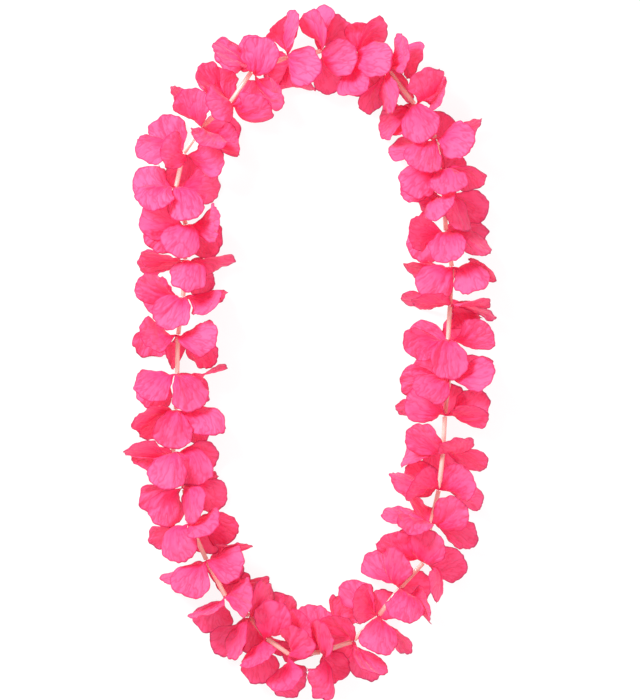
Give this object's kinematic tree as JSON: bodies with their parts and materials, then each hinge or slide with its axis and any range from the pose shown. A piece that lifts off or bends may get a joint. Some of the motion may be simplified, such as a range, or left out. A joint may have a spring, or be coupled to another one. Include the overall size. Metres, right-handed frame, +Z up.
{
  "type": "cloth flower lei",
  "caption": "Closed garland of die-cut cloth blooms with rounded, draped petals, threaded through their centres on a string and kept apart by translucent drinking-straw spacers.",
  "frame": {"origin": "middle of the underside of the lei's box, on the surface that it lies on", "axes": "+Z up from the surface, +Y along the long way of the loop towards the top of the picture, +X towards the picture's right"},
  "size_m": [0.254, 0.4742, 0.0488],
  "materials": {
    "bloom_cloth": "thin hot-pink woven polyester, matt with a faint sheen, cut edge a little darker",
    "straw_plastic": "smooth translucent pale peach plastic"
  },
  "bodies": {
    "root": {"bloom_01": "bloom_cloth", "bloom_02": "bloom_cloth", "bloom_03": "bloom_cloth", "bloom_04": "bloom_cloth", "bloom_05": "bloom_cloth", "bloom_06": "bloom_cloth", "bloom_07": "bloom_cloth", "bloom_08": "bloom_cloth", "bloom_09": "bloom_cloth", "bloom_10": "bloom_cloth", "bloom_11": "bloom_cloth", "bloom_12": "bloom_cloth", "bloom_13": "bloom_cloth", "bloom_14": "bloom_cloth", "bloom_15": "bloom_cloth", "bloom_16": "bloom_cloth", "bloom_17": "bloom_cloth", "bloom_18": "bloom_cloth", "bloom_19": "bloom_cloth", "bloom_20": "bloom_cloth", "bloom_21": "bloom_cloth", "bloom_22": "bloom_cloth", "bloom_23": "bloom_cloth", "bloom_24": "bloom_cloth", "bloom_25": "bloom_cloth", "bloom_26": "bloom_cloth", "bloom_27": "bloom_cloth", "bloom_28": "bloom_cloth", "bloom_29": "bloom_cloth", "bloom_30": "bloom_cloth", "bloom_31": "bloom_cloth", "bloom_32": "bloom_cloth", "bloom_33": "bloom_cloth", "bloom_34": "bloom_cloth", "bloom_35": "bloom_cloth", "bloom_36": "bloom_cloth", "bloom_37": "bloom_cloth", "bloom_38": "bloom_cloth", "bloom_39": "bloom_cloth", "bloom_40": "bloom_cloth", "bloom_41": "bloom_cloth", "string_with_straws": "straw_plastic"}
  },
  "joints": []
}
